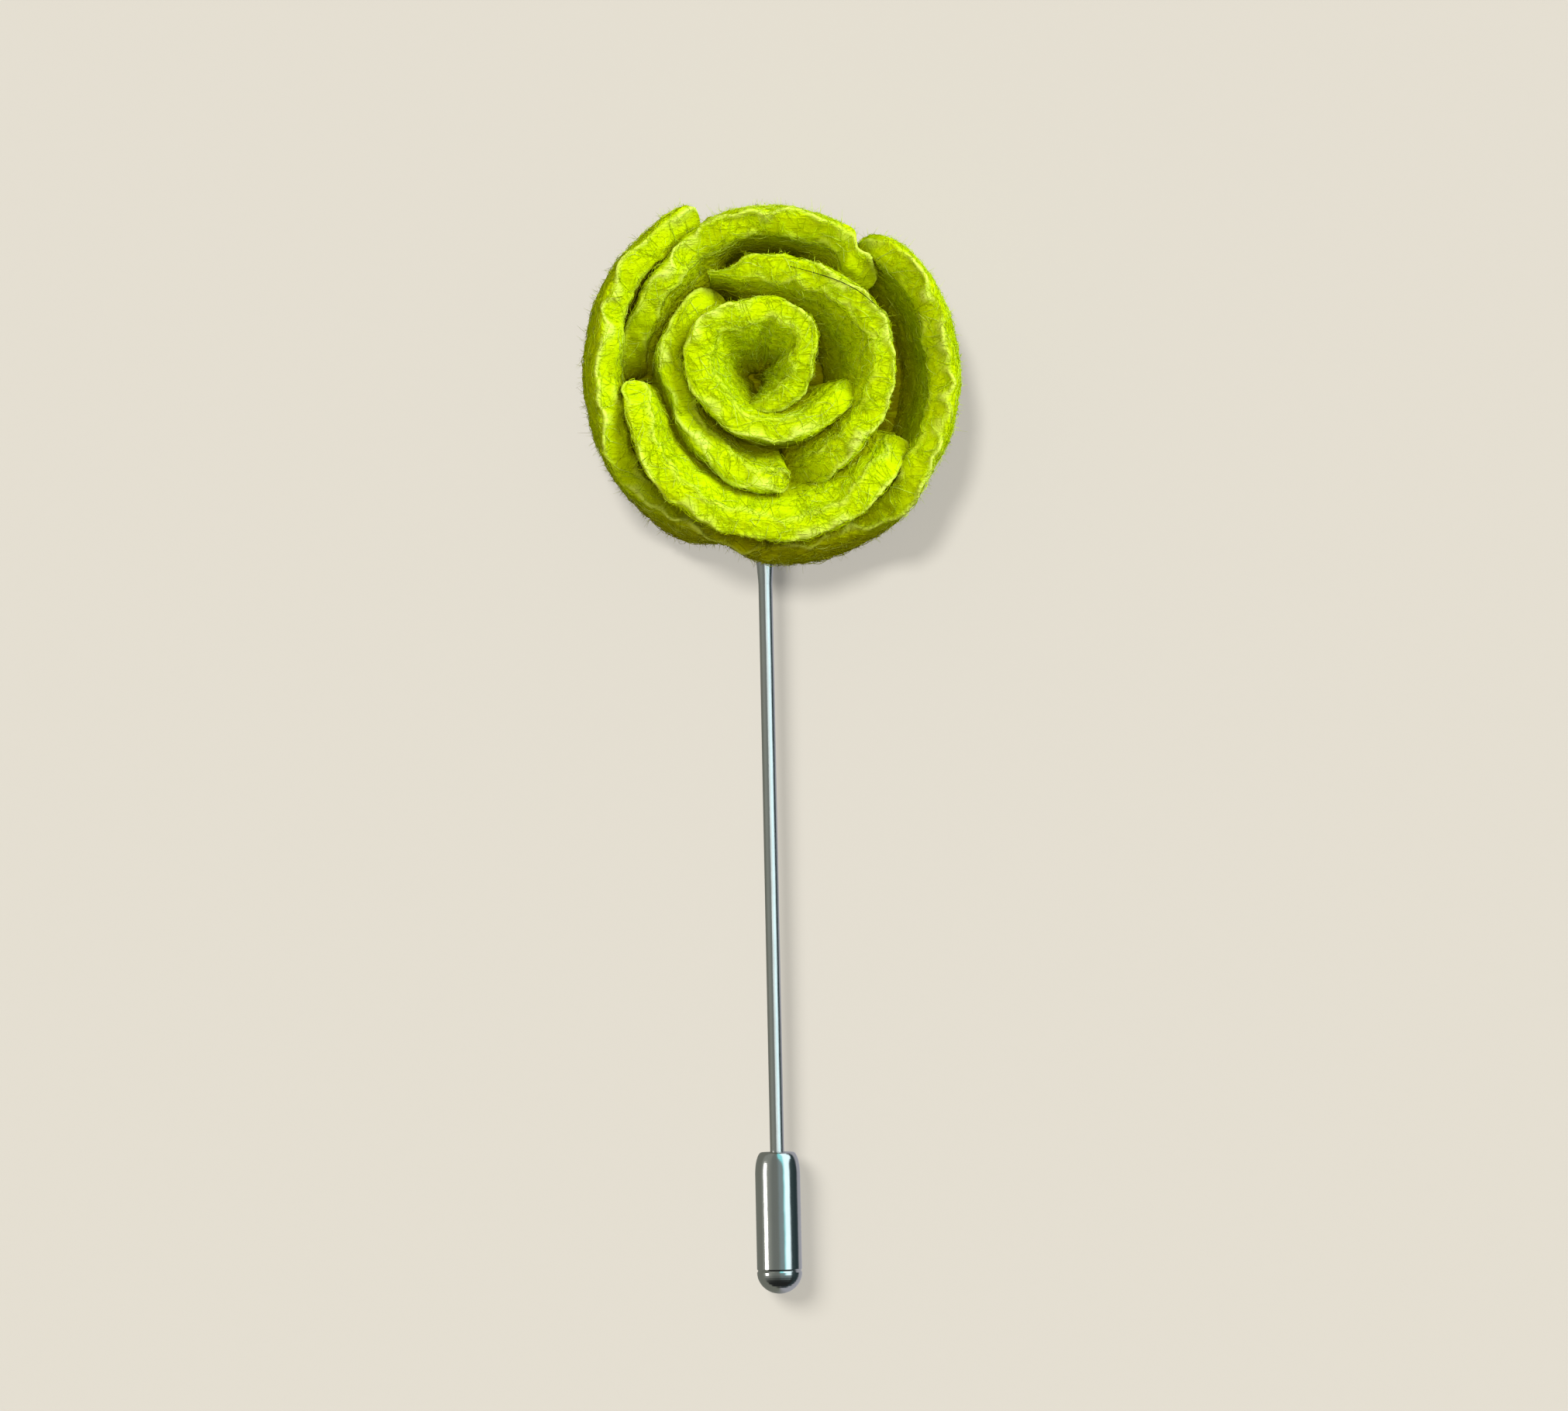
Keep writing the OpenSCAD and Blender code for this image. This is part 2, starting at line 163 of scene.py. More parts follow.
# Columns of the roll's table: the angle, from the inner end outwards, the share of the flower's radius that
# the petal round it follows, how many layers in from there its rim lies, and the top's share of the height.
ROLL_IN, ROLL_TOP = 2, 3
CENTRE_ROLL = [
    [-480, 1.01, 4.62, 0.68],
    [-460, 0.96, 4.4, 0.76],
    [-440, 0.9, 4.12, 0.81],
    [-418, 0.87, 3.97, 0.84],
    [-395, 0.885, 4.12, 0.86],
    [-375, 0.905, 4.24, 0.87],
    [-358, 0.925, 4.25, 0.88],
    [-341, 0.94, 4.08, 0.89],
    [-318, 0.945, 4.02, 0.89],
    [-300, 0.938, 4.12, 0.89],
    [-284, 0.93, 3.94, 0.88],
    [-258, 0.96, 4.22, 0.89],
    [-232, 1.06, 4.7, 0.9],
    [-207, 1.1, 4.76, 0.9],
    [-183, 1.11, 4.76, 0.9],
    [-159, 1.1, 4.8, 0.9],
    [-136, 1.05, 4.5, 0.9],
    [-113, 1, 4.02, 0.9],
    [-90, 0.93, 3.43, 0.9],
    [-67, 0.87, 2.87, 0.89],
    [-47, 0.875, 2.73, 0.88],
    [-28, 0.9, 2.66, 0.86],
    [-11, 0.91, 2.62, 0.72],
]

# Each petal: its table, the felt layers outside it, and where its ring's rims lean
PETALS = {
    "petal_left": (PETAL_LEFT, 0, OUTER_LEAN),
    "petal_top": (PETAL_TOP, 1, OUTER_LEAN),
    "petal_right": (PETAL_RIGHT, 0, OUTER_LEAN),
    "petal_bottom": (PETAL_BOTTOM, 1, OUTER_LEAN),
    "inner_petal_right": (INNER_PETAL_RIGHT, 2, INNER_LEAN),
    "inner_petal_left": (INNER_PETAL_LEFT, 3, INNER_LEAN),
}
OUTERMOST = ("petal_left", "petal_right", "petal_top")
SHARP_PETAL = "inner_petal_right"
BODY_LOW = 0.4
BODY_HIGH = 0.75
# Radius at which the roll's mesh has its points as far apart as the petals have
ROLL_R = 5 * MM

# The felt's mesh: spacing of its points, the length over which an end rounds off, how square the end is, and
# its least share of the thickness
FELT_STEP = 0.21 * MM
END_LENGTH = 0.8 * MM
END_SQUARE = 0.4
END_LEAST = 0.14
BLUNT_TIP = (END_LENGTH, END_SQUARE)
# Two walls thin towards a tip: over what length, and how gently
SHARP_TIP = (4.8 * MM, 1.7)
ROLLED_TIP = (14 * MM, 0.5)
# The cut rim: how square its outer and inner halves are, how tall it is, and how far its outer corner rises
RIM_SQUARE = 0.5
RIM_ROUND = 0.85
RIM_TALL = 0.65
RIM_TILT = 0.45 * MM
# Towards its foot the felt swells on both sides, where the layers are pressed and sewn together
SWELL_IN = 2.3 * MM
ROLL_SWELL_IN = 1.5 * MM
SWELL_OUT = 0.6 * MM
SWELL_SEAM = 0.3 * MM
# The foot's corners round off: shares of the way up, and the share of the thickness at each
FOOT_UP = (0, 0.03, 0.06)
FOOT_THICK = (0.75, 0.94, 1)
# How far the walls stand inside the construction's, so that their relief stays within its outline
RELIEF_ROOM = 0.22 * MM
# A crest zigzags along each corner of the rim, raised and painted pale as a highlight: its width, and the
# length and reach of its turns
CREST_WIDE = 0.3 * MM
CREST_TURN = 1.9 * MM
CREST_REACH = 0.75 * MM
# Each corner's crest: its share of the way over the rim, and how strong it is
CREST_LINES = ((0.2, 1.0), (0.85, 0.5))

# The felt's relief: the size of each kind of bump and how high it stands
WOBBLES = ((4.5 * MM, 0.35 * MM, 0.4 * MM), (1.9 * MM, 0.2 * MM, 0.15 * MM))
LUMP_SIZE = 2.4 * MM
LUMP_HIGH = 0.1 * MM
FOLD_LONG = 1.8 * MM
FOLD_WIDE = 0.85 * MM
FOLD_HIGH = 0.1 * MM
FOLD_WANDER = 1.6 * MM
CRUMB_SIZE = 0.5 * MM
CRUMB_HIGH = 0.085 * MM
CREST_HIGH = 0.3 * MM
CREST_BREAK = 1.9 * MM

# Shade in the folds: rays from each point, how far off it they start, how far they look for felt, how much
# less far felt shades than near, how much the ground shades, and how many times the shade is evened out
HOLLOW_RAYS = 14
RAY_START = 0.1 * MM
HOLLOW_REACH = 8 * MM
FAR_FADES = 0.6
FLOOR_SHADE = 1.1
HOLLOW_EVENED = 3

# Fibres that lie on the felt, and the fuzz that stands off it: how many points of the mesh there are to each
LYING_EACH = 11
LYING_LENGTH = (0.8 * MM, 3.5 * MM)
LYING_R = 0.028 * MM
LYING_LIFT = 0.12 * MM
LYING_POINTS = 5
FUZZ_EACH = 12
FUZZ_LENGTH = (0.2 * MM, 0.65 * MM)
FUZZ_R = 0.015 * MM
FUZZ_POINTS = 3
# How few of the fibres are pale: the higher, the fewer
FEW_PALE = 8
# How far the path of a fibre stays off what the flower lies on
TABLE_ROOM = 0.056 * MM

# The pad's mesh: points round it and across it, and the size, height and set-back of its bumps
PAD_ROUND = 260
PAD_ACROSS = 48
PAD_BUMPS = (1.2 * MM, 0.5 * MM)
PAD_BUMP_HIGH = 0.12 * MM
PAD_BUMP_ROOM = 0.1 * MM

# Camera, as the photograph was taken: straight down, from far off
VIEW_CENTRE = (1.43 * MM, -28.31 * MM)
VIEW_WIDTH = 139.5 * MM
VIEW_TURN = math.radians(1.18)
CAMERA_HIGH = 1.2
SENSOR = 36


def column_values(table, column, angles):
    """A column's values at the angles, on a smooth curve through the rows."""
    rows = np.array(table, float)
    at = rows[:, ANGLE]
    value = rows[:, column]
    last = len(rows) - 1
    i = np.clip(np.searchsorted(at, angles, side="right") - 1, 0, last - 1)
    before = np.maximum(i - 1, 0)
    after = np.minimum(i + 2, last)
    span = at[i + 1] - at[i]
    t = (angles - at[i]) / span
    slope_a = (value[i + 1] - value[before]) / (at[i + 1] - at[before]) * span
    slope_b = (value[after] - value[i]) / (at[after] - at[i]) * span
    return (value[i] * (2 * t**3 - 3 * t**2 + 1) + slope_a * (t**3 - 2 * t**2 + t)
            + value[i + 1] * (3 * t**2 - 2 * t**3) + slope_b * (t**3 - t**2))


def noise_at(points, size, seed):
    """Smooth noise from -1 to 1 at each point, with bumps of about that size."""
    shift = Vector((seed * 17.3, seed * 5.1, seed * 9.7))
    flat = points.reshape(-1, 3) / size
    values = [noise.noise(Vector(p) + shift) for p in flat.tolist()]
    return np.array(values).reshape(points.shape[:-1])


def bezier(p, t):
    """Points on cubic curves p, one curve a row, at the shares t along them."""
    t = t[None, :, None]
    a, b, c, d = (p[:, k, None, :] for k in range(4))
    return a * (1 - t)**3 + 3 * b * t * (1 - t)**2 + 3 * c * t**2 * (1 - t) + d * t**3


def bezier_way(p, t):
    """Unit directions of those curves."""
    t = t[None, :, None]
    a, b, c, d = (p[:, k, None, :] for k in range(4))
    way = (b - a) * (1 - t)**2 + 2 * (c - b) * t * (1 - t) + (d - c) * t**2
    return way / np.linalg.norm(way, axis=2, keepdims=True)


def petal_curves(table, layers, angles, half):
    """The curve up the middle of the wall at each angle, as four [radius, height] points."""
    off = layers * LAYER + RELIEF_ROOM
    rim_r = column_values(table, RIM, angles) * FLOWER_R - off
    body_r = column_values(table, BODY_SHARE, angles) * FLOWER_R - off
    foot_r = column_values(table, FOOT, angles) * EDGE_FOOT_R - off
    hem_z = FELT_GAP + np.clip(column_values(table, HEM, angles), 0, 1) * BASE_T
    rim_z = column_values(table, TOP, angles) * FLOWER_H - half
    return four_points(foot_r, body_r, rim_r, hem_z, rim_z)


def roll_curves(table, angles, half):
    """The same for the roll, which winds inwards inside the petals."""
    rim_r = column_values(table, RIM, angles) * FLOWER_R - column_values(table, ROLL_IN, angles) * LAYER
    hem_z = np.full(len(angles), FELT_GAP + BASE_T)
    rim_z = column_values(table, ROLL_TOP, angles) * FLOWER_H - half
    return four_points(rim_r - ROLL_SPLAY, rim_r - ROLL_SPLAY / 2, rim_r, hem_z, rim_z)


def four_points(foot_r, body_r, rim_r, hem_z, rim_z):
    rise = rim_z - hem_z
    return np.stack([
        np.stack([foot_r, hem_z], 1),
        np.stack([body_r, hem_z + BODY_LOW * rise], 1),
        np.stack([body_r, hem_z + BODY_HIGH * rise], 1),
        np.stack([rim_r, rim_z], 1),
    ], 1)


def stations(table, radius):
    """Angles from the first row to the last, close enough for the felt's mesh."""
    first, last = table[0][ANGLE], table[-1][ANGLE]
    count = math.ceil(math.radians(last - first) * radius / FELT_STEP)
    return np.linspace(first, last, count + 1)


def end_half(angles, radius, first=BLUNT_TIP, last=BLUNT_TIP):
    """Half the felt's thickness at each angle, thinning towards both ends."""
    half = np.full(len(angles), FELT_T / 2)
    for from_end, (length, square) in ((angles - angles[0], first), (angles[-1] - angles, last)):
        inside = np.clip(np.radians(from_end) * radius / length, 0, 1)
        half *= (1 - (1 - inside)**2)**square
    return np.maximum(half, END_LEAST * FELT_T / 2)


def wall_grid(angles, curves, half, lean, swells, seed):
    """The wall's points as a grid, one row a section: up the outside, over the rim and down the inside.
    Also gives, for each point of a section, how far up the wall it lies and how near a corner of the rim."""
    across = np.stack([np.cos(np.radians(angles)), np.sin(np.radians(angles))], 1)
    height = float(np.max(curves[:, 3, 1] - curves[:, 0, 1]))
    up = np.linspace(0, 1, math.ceil(height / FELT_STEP) + 1)
    middle = bezier(curves, up)
    way = bezier_way(curves, up)
    way[:, 0] = [0, 1]
    side = np.stack([way[..., 1], -way[..., 0]], 2)
    thick = (half[:, None] * np.interp(up, FOOT_UP, FOOT_THICK)[None, :])[..., None]
    top_way, top_side = way[:, -1:], side[:, -1:]
    turn = np.radians(np.linspace(0, 180, math.ceil(math.pi * FELT_T / 2 / FELT_STEP) + 1)[1:-1])
    bend = np.where(np.cos(turn) > 0, RIM_SQUARE, RIM_ROUND)
    wide = np.sign(np.cos(turn)) * np.abs(np.cos(turn))**bend
    tall = RIM_TALL * np.sin(turn)**bend
    turned = wide[None, :, None] * top_side + tall[None, :, None] * top_way
    rim = middle[:, -1:] + half[:, None, None] * turned
    full = (half / half.max())[:, None]
    rim[..., 1] += RIM_TILT * wide[None, :] * full
    outwards = full[..., None] * np.array([1, 0])
    seam = SWELL_SEAM * (1 - up**4)[None, :, None]
    swell_out, swell_in = swells
    out_by = swell_out * ((1 - up)**2)[None, :, None] + seam * (swell_out > 0)
    in_by = swell_in * ((1 - up)**1.2)[None, :, None] + seam
    outside = middle + side * thick + outwards * out_by
    inside = middle - side * thick - outwards * in_by
    tilt = RIM_TILT * (up**3)[None, :] * full
    outside[..., 1] += tilt
    inside[..., 1] -= tilt
    loop = np.concatenate([outside, rim, inside[:, ::-1]], 1)
    risen = np.concatenate([up, np.ones(len(turn)), up[::-1]])
    place = np.arange(len(risen)) * FELT_STEP
    # The rim wanders in and out and up and down along the petal
    arc = np.radians(angles) * float(np.mean(curves[:, 3, 0]))
    line = np.stack([arc, np.zeros_like(arc), np.zeros_like(arc)], 1)
    corner = np.zeros((len(arc), len(place)))
    for k, (share, strong) in enumerate(CREST_LINES):
        turns = np.clip(2.2 * noise_at(line, CREST_TURN, seed + 50 + k), -1, 1)
        middle_of = (len(up) + len(turn) * share) * FELT_STEP + CREST_REACH * turns
        corner += strong * np.exp(-((place[None, :] - middle_of[:, None]) / CREST_WIDE)**2)
    share = (risen**2)[None, :]
    for k, (size, out, rise) in enumerate(WOBBLES):
        loop[..., 0] += out * noise_at(line, size, seed + 30 + k)[:, None] * share
        loop[..., 1] += rise * (noise_at(line, size, seed + 40 + k)[:, None] - 0.3) * share
    points = np.empty(loop.shape[:2] + (3,))
    points[..., :2] = (loop[..., 1] / FLOWER_H)[..., None] * lean + loop[..., :1] * across[:, None, :]
    points[..., 2] = loop[..., 1]
    return points, risen, corner


def grid_normals(points):
    """Unit normals of a grid that closes on itself across its rows, pointing out of the felt."""
    along = np.gradient(points, axis=0)
    round_ = np.roll(points, -1, 1) - np.roll(points, 1, 1)
    normal = np.cross(along, round_)
    return normal / np.maximum(np.linalg.norm(normal, axis=2, keepdims=True), 1e-12)


def felt_relief(points, risen, corner, seed):
    """How far each point of the wall stands out, its share of valley, which the colour darkens as painted
    shade, and its share of crest, which raises the rim's corners and which the colour lightens as a painted
    highlight.
    The relief is soft lumps, folds that run along the rim, crumbs, and a broken crest on its corners."""
    lumps = noise_at(points, LUMP_SIZE, seed)
    step = np.linalg.norm(np.diff(points, axis=0), axis=2).mean(1)
    arc = np.concatenate([[0], np.cumsum(step)])
    down = np.arange(points.shape[1]) * FELT_STEP
    sheet = np.empty(points.shape)
    sheet[..., 0] = arc[:, None] / FOLD_LONG * FOLD_WIDE
    sheet[..., 1] = down[None, :]
    sheet[..., 2] = 0.7 * noise_at(points, FOLD_WANDER, seed + 3) * FOLD_WIDE
    folds = 1 - 2.6 * np.abs(noise_at(sheet, FOLD_WIDE, seed + 7))
    crumbs = noise_at(points, CRUMB_SIZE, seed + 11) + 0.5 * noise_at(points, CRUMB_SIZE / 2, seed + 13)
    near_rim = 0.4 + 0.6 * risen[None, :]**3
    broken = noise_at(sheet, CREST_BREAK, seed + 17)
    crest = corner * np.clip(0.75 + 1.3 * broken, 0, 1)
    relief = (LUMP_HIGH * lumps + FOLD_HIGH * folds * near_rim + CRUMB_HIGH * crumbs + CREST_HIGH * crest
              - 0.25 * (LUMP_HIGH + FOLD_HIGH))
    valley_shade = np.clip(0.25 - 0.55 * folds - 0.5 * crumbs - 0.35 * lumps, 0, 1)
    return relief, valley_shade, crest


def grid_faces(rows, loop):
    """Quads of a grid that closes on itself across its rows, with a ladder of quads over each end."""
    faces = []
    for i in range(rows - 1):
        a, b = i * loop, (i + 1) * loop
        faces += [(a + k, b + k, b + (k + 1) % loop, a + (k + 1) % loop) for k in range(loop)]
    for k in range(loop // 2 - 1):
        rung = (k, k + 1, loop - 2 - k, loop - 1 - k)
        faces.append(rung)
        faces.append(tuple(v + (rows - 1) * loop for v in reversed(rung)))
    return faces


def add_mesh(name, vertices, faces):
    mesh = bpy.data.meshes.new(name)
    mesh.from_pydata(np.asarray(vertices).reshape(-1, 3).tolist(), [], faces)
    mesh.polygons.foreach_set("use_smooth", [True] * len(mesh.polygons))
    mesh.validate()
    piece = bpy.data.objects.new(name, mesh)
    bpy.context.scene.collection.objects.link(piece)
    return piece


class Wall:
    """A felt wall: its grid of points with their normals, and the values that its painted shade and highlight
    follow.
    """

    def __init__(self, points, valley_shade, crest):
        self.points = points
        self.normals = grid_normals(points)
        self.valley_shade = valley_shade
        self.crest = crest
        self.hollow = None


def felt_walls():
    """Every petal and the roll by name, with their relief."""
    made = {}
    for seed, name in enumerate([*PETALS, "centre_roll"]):
        if name in PETALS:
            table, layers, lean = PETALS[name]
            radius = FLOWER_R - layers * LAYER
            angles = stations(table, radius)
            half = end_half(angles, radius, last=SHARP_TIP if name == SHARP_PETAL else BLUNT_TIP)
            curves = petal_curves(table, layers, angles, half)
        else:
            table, lean = CENTRE_ROLL, ROLL_LEAN
            angles = stations(table, ROLL_R)
            half = end_half(angles, ROLL_R, first=ROLLED_TIP)
            curves = roll_curves(table, angles, half)
        swells = (0 if name in OUTERMOST else SWELL_OUT, SWELL_IN if name in PETALS else ROLL_SWELL_IN)
        points, risen, corner = wall_grid(angles, curves, half, lean, swells, seed + 1)
        relief, valley_shade, crest = felt_relief(points, risen, corner, seed + 1)
        thin = (half / half.max())[:, None]
        points = points + grid_normals(points) * (relief * thin)[..., None]
        points[..., 2] = np.maximum(points[..., 2], FELT_GAP / 2)
        made[name] = Wall(points, valley_shade, crest)
    return made


def felt_tree(walls):
    """One search tree of all the walls, for the shade in the folds."""
    vertices, faces = [], []
    for wall in walls.values():
        start = len(vertices)
        vertices += wall.points.reshape(-1, 3).tolist()
        faces += [tuple(start + v for v in f) for f in grid_faces(*wall.points.shape[:2])]
    return BVHTree.FromPolygons(vertices, faces)


def hollow_values(points, normals, tree):
    """Share of the space over each point that felt or the ground closes off, from 0 to 1."""
    turn = np.arange(HOLLOW_RAYS) * math.pi * (3 - math.sqrt(5))
    level = (np.arange(HOLLOW_RAYS) + 0.5) / HOLLOW_RAYS
    rays = np.stack([np.sqrt(level) * np.cos(turn), np.sqrt(level) * np.sin(turn), np.sqrt(1 - level)], 1)
    p = points.reshape(-1, 3)
    n = normals.reshape(-1, 3)
    aside = np.cross(n, np.where(np.abs(n[:, 2:]) < 0.9, [[0, 0, 1]], [[1, 0, 0]]))
    aside /= np.linalg.norm(aside, axis=1, keepdims=True)
    third = np.cross(n, aside)
    start = p + n * RAY_START
    total = np.zeros(len(p))
    for ray in rays:
        ways = ray[0] * aside + ray[1] * third + ray[2] * n
        lines = zip(start.tolist(), ways.tolist())
        hits = [tree.ray_cast(Vector(s), Vector(w), HOLLOW_REACH)[3] for s, w in lines]
        down = -start[:, 2] / np.minimum(ways[:, 2], -1e-9)
        shade = np.where((ways[:, 2] < 0) & (down < HOLLOW_REACH), FLOOR_SHADE, 0)
        closed = [1 - FAR_FADES * h / HOLLOW_REACH if h is not None else g for h, g in zip(hits, shade)]
        total += np.array(closed)
    values = (total / HOLLOW_RAYS).reshape(points.shape[:2])
    for _ in range(HOLLOW_EVENED):
        padded = np.concatenate([values[:1], values, values[-1:]])
        values = (padded[:-2] + 2 * padded[1:-1] + padded[2:]) / 4
        values = (np.roll(values, 1, 1) + 2 * values + np.roll(values, -1, 1)) / 4
    return values


def sampled(grid, row, place):
    """A grid's values between its points; places run round each row."""
    i = np.clip(np.floor(row).astype(int), 0, grid.shape[0] - 2)
    k = np.floor(place).astype(int)
    u = np.clip(row - i, 0, 1)
    v = place - k
    k0, k1 = k % grid.shape[1], (k + 1) % grid.shape[1]
    if grid.ndim == 3:
        u, v = u[..., None], v[..., None]
    return ((grid[i, k0] * (1 - v) + grid[i, k1] * v) * (1 - u)
            + (grid[i + 1, k0] * (1 - v) + grid[i + 1, k1] * v) * u)


def fibre_roots(wall, count, rng):
    """Random places on the part of a wall that shows, as rows and places of its grid."""
    rows, loop = wall.hollow.shape
    row = rng.uniform(0, rows - 1, 6 * count)
    place = rng.uniform(0, loop, 6 * count)
    shown = sampled(wall.hollow, row, place) < rng.uniform(0.15, 0.9, 6 * count)
    return row[shown][:count], place[shown][:count]


def lying_fibres(wall, rng):
    """Paths of fibres that wander over the felt, mostly along the rim."""
    row, place = fibre_roots(wall, wall.hollow.size // LYING_EACH, rng)
    count = len(row)
    t = np.linspace(0, 1, LYING_POINTS)[None, :]
    long = rng.uniform(*LYING_LENGTH, (count, 1)) / FELT_STEP
    heading = rng.normal(0, 0.9, (count, 1)) + rng.normal(0, 0.9, (count, 1)) * t
    rows = row[:, None] + np.cumsum(np.cos(heading), 1) * long / LYING_POINTS
    places = place[:, None] + np.cumsum(np.sin(heading), 1) * long / LYING_POINTS
    rows = np.clip(rows, 0, wall.hollow.shape[0] - 1.001)
    lift = LYING_R * 0.5 + np.abs(rng.normal(0, LYING_LIFT, (count, 1))) * np.sin(math.pi * t)
    paths = sampled(wall.points, rows, places) + sampled(wall.normals, rows, places) * lift[..., None]
    return above_table(paths), sampled(wall.hollow, row, place)


def fuzz_fibres(wall, rng):
    """Paths of short hairs that stand off the felt at all slants."""
    row, place = fibre_roots(wall, wall.hollow.size // FUZZ_EACH, rng)
    count = len(row)
    t = np.linspace(0, 1, FUZZ_POINTS)[None, :, None]
    root = sampled(wall.points, row, place)[:, None]
    out = sampled(wall.normals, row, place)
    way = out + rng.normal(0, 0.8, (count, 3))
    way /= np.linalg.norm(way, axis=1, keepdims=True)
    way += out * np.maximum(0.15 - (way * out).sum(1, keepdims=True), 0)
    bend = rng.normal(0, 0.5, (count, 3))
    long = rng.uniform(*FUZZ_LENGTH, (count, 1, 1))
    paths = root + long * (t * way[:, None] + t**2 * bend[:, None])
    return above_table(paths), sampled(wall.hollow, row, place)


def above_table(paths):
    """The paths, kept clear of what the flower lies on."""
    paths[..., 2] = np.maximum(paths[..., 2], TABLE_ROOM)
    return paths


def add_fibres(name, paths, hollow, radius, material, rng):
    """One mesh of three-sided hairs along the paths, each closed at both ends."""
    count, points = paths.shape[:2]
    way = np.gradient(paths, axis=1)
    way /= np.maximum(np.linalg.norm(way, axis=2, keepdims=True), 1e-12)
    aside = np.cross(way, rng.normal(0, 1, (count, 1, 3)))
    aside /= np.maximum(np.linalg.norm(aside, axis=2, keepdims=True), 1e-12)
    third = np.cross(way, aside)
    taper = np.interp(np.linspace(0, 1, points), [0, 0.3, 0.7, 1], [0.5, 1, 1, 0.3])[None, :, None]
    thick = radius * taper * rng.uniform(0.7, 1.3, (count, 1, 1))
    turns = np.radians([0, 120, 240])
    rings = [paths + thick * (math.cos(a) * aside + math.sin(a) * third) for a in turns]
    vertices = np.stack(rings, 2).reshape(-1, 3)
    one = []
    for i in range(points - 1):
        for k in range(3):
            one.append((3 * i + k, 3 * i + (k + 1) % 3, 3 * i + 3 + (k + 1) % 3, 3 * i + 3 + k))
    one.append((2, 1, 0))
    one.append((3 * points - 3, 3 * points - 2, 3 * points - 1))
    faces = [tuple(start + v for v in f) for start in range(0, 3 * points * count, 3 * points) for f in one]
    piece = add_mesh(name, vertices, faces)
    # Each fibre takes the painted shade of the felt at its root; a few at random are pale
    set_values(piece, "hollow", np.repeat(hollow, 3 * points))
    set_values(piece, "crest", np.repeat(rng.uniform(0, 1, count)**FEW_PALE, 3 * points))
    piece.data.materials.append(material)
    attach(piece, BODY)


def set_values(piece, name, values):
    made = piece.data.attributes.new(name, "FLOAT", "POINT")
    made.data.foreach_set("value", np.asarray(values, np.float32).ravel())


def shader(name):
    """A new material's tree, cleared, with its Principled shader joined to the output."""
    material = bpy.data.materials.new(name)
    material.use_nodes = True
    nodes = material.node_tree.nodes
    nodes.clear()
    surface = nodes.new("ShaderNodeBsdfPrincipled")
    output = nodes.new("ShaderNodeOutputMaterial")
    material.node_tree.links.new(surface.outputs["BSDF"], output.inputs["Surface"])
    return material, surface


class Nodes:
    """Short ways to add and join a material's nodes."""

    def __init__(self, tree):
        self.tree = tree

    def add(self, kind, values=None, **settings):
        node = self.tree.nodes.new(kind)
        for key, value in settings.items():
            setattr(node, key, value)
        for key, value in (values or {}).items():
            if isinstance(value, bpy.types.NodeSocket):
                self.tree.links.new(value, node.inputs[key])
            else:
                node.inputs[key].default_value = value
        return node

    def mix(self, factor, a, b):
        """Mixes two colours, which are the node's inputs 6 and 7 and its output 2."""
        return self.add("ShaderNodeMix", {0: factor, 6: a, 7: b}, data_type="RGBA").outputs[2]

    def math(self, operation, a, b=0.0, clamp=False):
        node = self.add("ShaderNodeMath", {0: a, 1: b}, operation=operation, use_clamp=clamp)
        return node.outputs[0]

    def ramp(self, factor, low, high):
        """Rises smoothly from 0 at low to 1 at high, or falls where high is the lower of the two."""
        node = self.add("ShaderNodeMapRange", {"Value": factor, "From Min": low, "From Max": high})
        node.interpolation_type = "SMOOTHSTEP"
        return node.outputs["Result"]


# The felt's colours: where it stands free, its lightest strands, its folds as painted shade mixed with random
# tone, its hollows and low parts as painted shade, and its crests as a painted highlight that also colours a
# few pale fibres
LIME = (0.64, 0.85, 0.0008, 1)
BRIGHT = (0.78, 0.99, 0.003, 1)
LEAF_SHADE_AND_TONE = (0.43, 0.52, 0.001, 1)
SHADE_OLIVE = (0.325, 0.29, 0.001, 1)
PALE_HIGHLIGHT_AND_FIBRE = (0.82, 1.0, 0.17, 1)
# Where painted shade turns the felt olive near the table, and where on the pin's side it does so higher up
LOW_PAINTED_SHADE = (8.5 * MM, 2 * MM)
PIN_SIDE_SHADE = (-8 * MM, -14 * MM)
PIN_SIDE_SHADE_LOW = (10.5 * MM, 7 * MM)
# The scales of its noises, the slants of its strands, and how deep its finest relief looks
CLOUDS = 520.0
FINEST = 2600.0
STRANDS = 420.0
STRAND_TURNS = (0.3, 1.4, 2.6)
FELT_BUMP = 0.12 * MM


